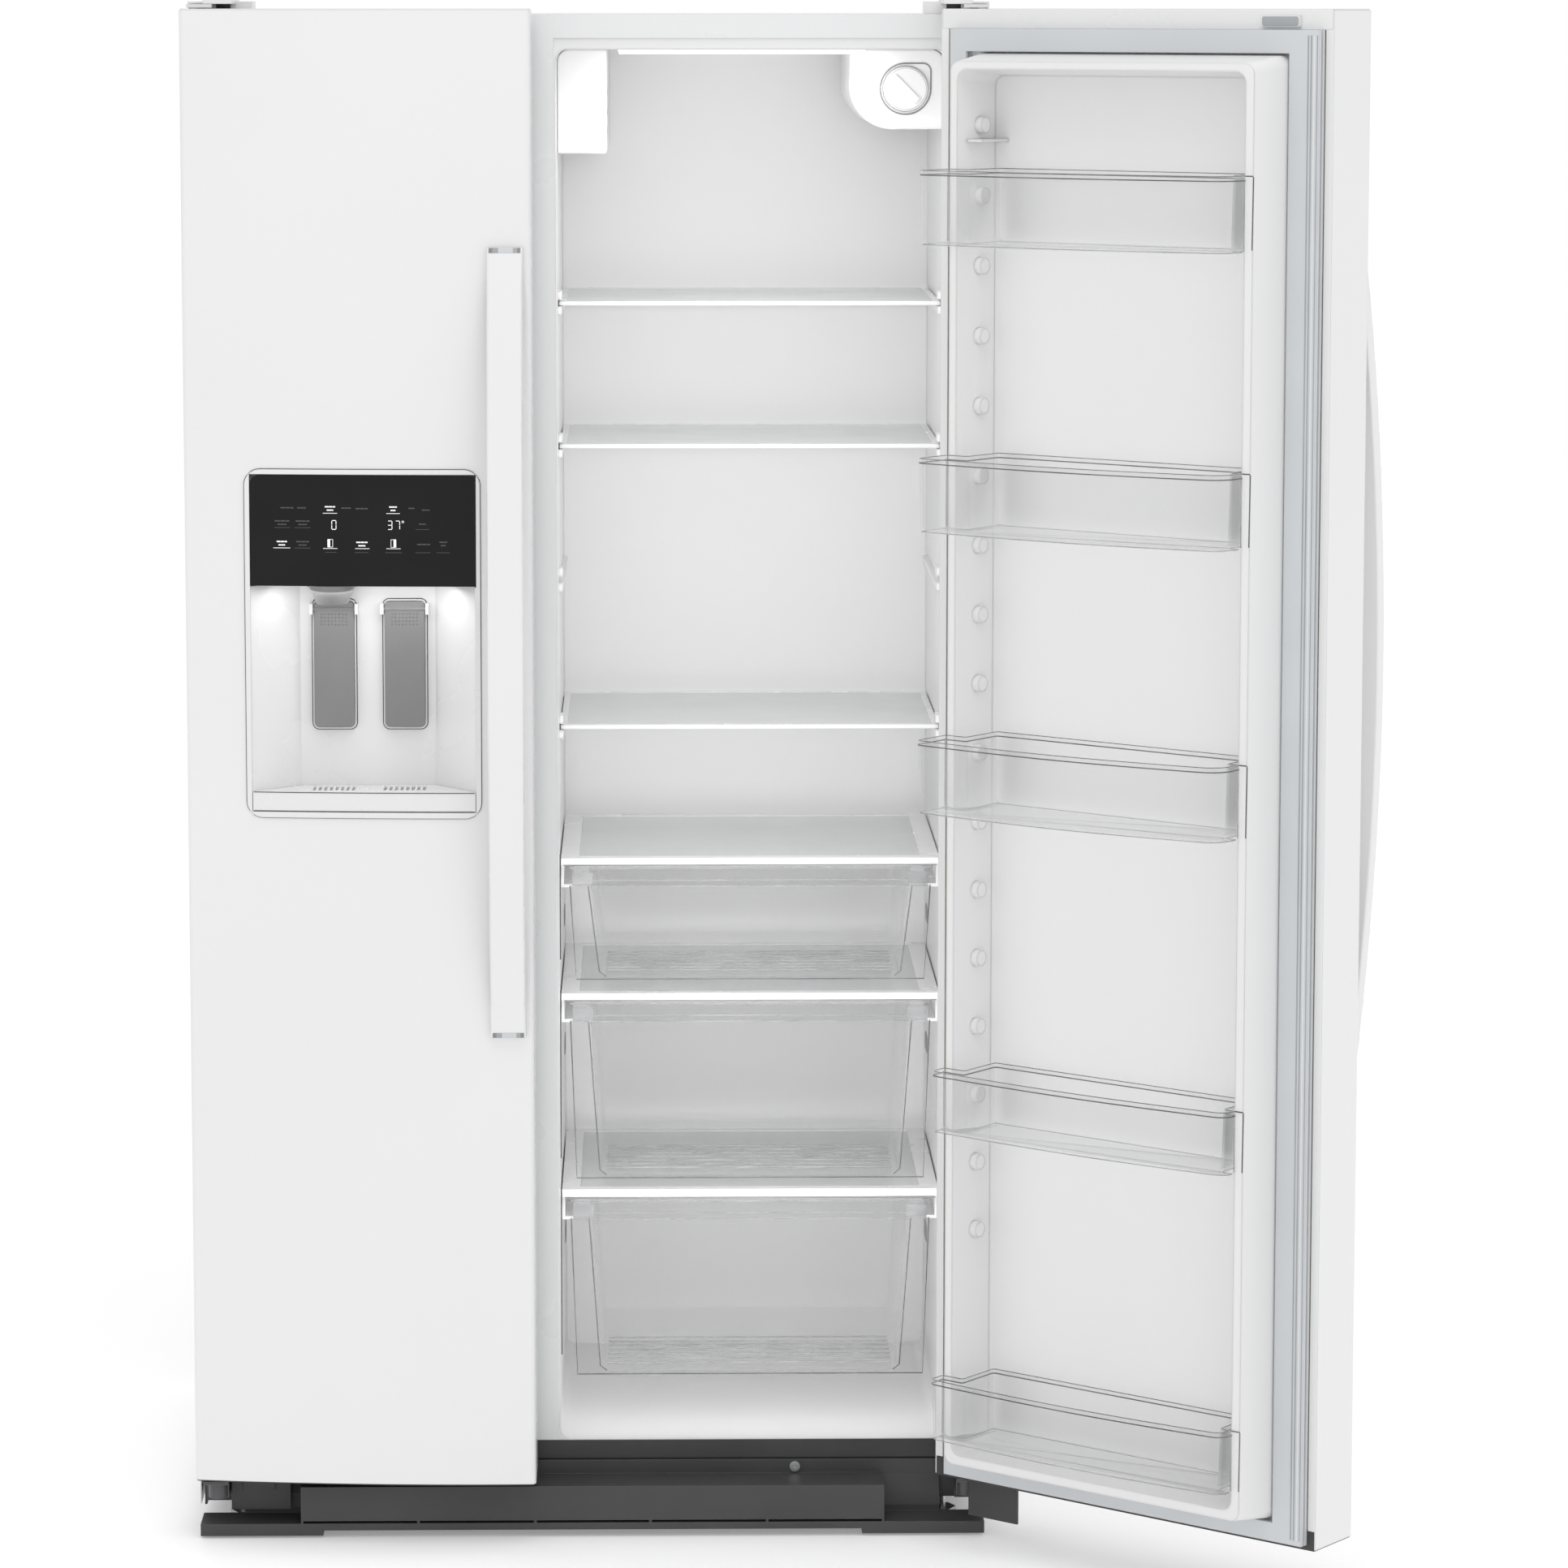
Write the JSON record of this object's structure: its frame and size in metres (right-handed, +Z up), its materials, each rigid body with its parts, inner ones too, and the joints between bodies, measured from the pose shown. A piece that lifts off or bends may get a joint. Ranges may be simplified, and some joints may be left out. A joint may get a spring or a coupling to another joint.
{
  "type": "side by side refrigerator",
  "caption": "Side by side refrigerator with bowed white doors, ice and water dispenser, shelves, clear drawers and door bins, shown with its right door open.",
  "frame": {"origin": "on the floor below the middle of the cabinet's front face", "axes": "+X towards the fresh food side, +Y into the refrigerator, +Z up"},
  "size_m": [1.3214, 1.0329, 1.757],
  "materials": {
    "painted_white": "gloss white enamel on steel",
    "painted_grey": "pale grey enamel on steel",
    "painted_dark": "dark grey powder coat",
    "liner_white": "moulded white plastic",
    "trim_white": "gloss white plastic",
    "grille_dark": "dark grey moulded plastic",
    "clear_plastic": "clear styrene",
    "frosted_glass": "frosted tempered glass",
    "gasket_grey": "soft blue grey vinyl",
    "foam": "rigid insulation foam",
    "hinge_steel": "dark zinc plated steel",
    "bright_steel": "zinc plated steel",
    "compressor_black": "black enamel",
    "copper_tube": "copper tube",
    "coil_aluminium": "aluminium tube",
    "panel_black": "gloss black window",
    "paddle_grey": "grey plastic",
    "galvanised": "galvanised sheet",
    "lens_frost": "frosted diffuser",
    "filter_white": "white plastic",
    "roller_plastic": "hard black plastic"
  },
  "bodies": {
    "cabinet": {"cabinet_wrap": "painted_white", "back_panel": "galvanised", "base_frame": "painted_dark", "cabinet_foam": "foam", "fridge_liner": "liner_white", "freezer_liner": "liner_white", "front_frame": "painted_grey", "base_grille": "grille_dark", "hinge_brackets": "hinge_steel", "hinge_covers": "trim_white", "leveling_feet": "bright_steel", "compressor": "compressor_black", "condenser_coil": "copper_tube", "drain_pan": "roller_plastic", "evaporator_cover": "liner_white", "evaporator_coil": "coil_aluminium", "air_duct_cover": "liner_white", "light_lens": "lens_frost", "filter_housing": "liner_white", "shelf_1": "trim_white", "shelf_2": "trim_white", "shelf_3": "trim_white", "crisper_covers": "trim_white", "shelf_glass": "frosted_glass", "freezer_shelves": "trim_white", "ice_maker": "trim_white", "screws": "bright_steel"},
    "fridge_door": {"fridge_door_skin": "painted_white", "fridge_door_foam": "foam", "fridge_door_liner": "liner_white", "fridge_door_gasket": "gasket_grey", "fridge_door_top_cap": "trim_white", "fridge_door_bottom_cap": "grille_dark", "fridge_door_handle": "painted_white"},
    "freezer_door": {"freezer_door_skin": "painted_white", "freezer_door_foam": "foam", "freezer_door_liner": "liner_white", "freezer_door_gasket": "gasket_grey", "freezer_door_top_cap": "trim_white", "freezer_door_bottom_cap": "grille_dark", "freezer_door_handle": "painted_white", "freezer_door_bins": "clear_plastic", "dispenser_housing": "trim_white", "control_panel": "panel_black", "dispenser_tray": "trim_white", "ice_chute": "paddle_grey"},
    "rear_rollers": {"rear_rollers": "roller_plastic"},
    "condenser_fan": {"condenser_fan": "roller_plastic"},
    "evaporator_fan": {"evaporator_fan": "trim_white"},
    "water_filter": {"water_filter": "filter_white"},
    "ice_paddle": {"ice_paddle": "paddle_grey"},
    "water_paddle": {"water_paddle": "paddle_grey"},
    "crisper_drawer_1": {"crisper_drawer_1": "clear_plastic"},
    "crisper_drawer_2": {"crisper_drawer_2": "clear_plastic"},
    "crisper_drawer_3": {"crisper_drawer_3": "clear_plastic"},
    "door_bin_1": {"door_bin_1": "clear_plastic"},
    "door_bin_2": {"door_bin_2": "clear_plastic"},
    "door_bin_3": {"door_bin_3": "clear_plastic"},
    "door_bin_4": {"door_bin_4": "clear_plastic"},
    "door_bin_5": {"door_bin_5": "clear_plastic"}
  },
  "joints": [
    {"name": "fridge_door_hinge", "type": "hinge", "parent": "cabinet", "child": "fridge_door", "pos_m": [0.43, -0.04, 0.9], "axis": [0, 0, 1], "range_deg": [-141, 0]},
    {"name": "freezer_door_hinge", "type": "hinge", "parent": "cabinet", "child": "freezer_door", "pos_m": [-0.43, -0.04, 0.9], "axis": [0, 0, -1], "range_deg": [0, 141]},
    {"name": "crisper_drawer_1_slide", "type": "slide", "parent": "cabinet", "child": "crisper_drawer_1", "axis": [0, -1, 0], "range_m": [0, 0.2]},
    {"name": "crisper_drawer_2_slide", "type": "slide", "parent": "cabinet", "child": "crisper_drawer_2", "axis": [0, -1, 0], "range_m": [0, 0.2]},
    {"name": "crisper_drawer_3_slide", "type": "slide", "parent": "cabinet", "child": "crisper_drawer_3", "axis": [0, -1, 0], "range_m": [0, 0.2]},
    {"name": "door_bin_1_lift", "type": "slide", "parent": "fridge_door", "child": "door_bin_1", "axis": [0, 0, 1], "range_m": [0, 0.02]},
    {"name": "door_bin_2_lift", "type": "slide", "parent": "fridge_door", "child": "door_bin_2", "axis": [0, 0, 1], "range_m": [0, 0.02]},
    {"name": "door_bin_3_lift", "type": "slide", "parent": "fridge_door", "child": "door_bin_3", "axis": [0, 0, 1], "range_m": [0, 0.02]},
    {"name": "door_bin_4_lift", "type": "slide", "parent": "fridge_door", "child": "door_bin_4", "axis": [0, 0, 1], "range_m": [0, 0.02]},
    {"name": "door_bin_5_lift", "type": "slide", "parent": "fridge_door", "child": "door_bin_5", "axis": [0, 0, 1], "range_m": [0, 0.02]},
    {"name": "ice_paddle_press", "type": "hinge", "parent": "freezer_door", "child": "ice_paddle", "pos_m": [-0.2893, -0.034, 1.07], "axis": [1, 0, 0], "range_deg": [0, 2.5], "stiffness_Nm_per_rad": 2},
    {"name": "water_paddle_press", "type": "hinge", "parent": "freezer_door", "child": "water_paddle", "pos_m": [-0.2095, -0.034, 1.07], "axis": [1, 0, 0], "range_deg": [0, 2.5], "stiffness_Nm_per_rad": 2},
    {"name": "water_filter_turn", "type": "hinge", "parent": "cabinet", "child": "water_filter", "pos_m": [0.36, 0.2, 1.652], "axis": [0, 1, 0], "range_deg": [0, 90]},
    {"name": "evaporator_fan_spin", "type": "hinge", "parent": "cabinet", "child": "evaporator_fan", "pos_m": [-0.244, 0.506, 1.18], "axis": [0, 1, 0], "continuous": true},
    {"name": "condenser_fan_spin", "type": "hinge", "parent": "cabinet", "child": "condenser_fan", "pos_m": [0.064, 0.545, 0.14], "axis": [1, 0, 0], "continuous": true},
    {"name": "rear_rollers_spin", "type": "hinge", "parent": "cabinet", "child": "rear_rollers", "pos_m": [0, 0.585, 0.017], "axis": [1, 0, 0], "continuous": true}
  ]
}
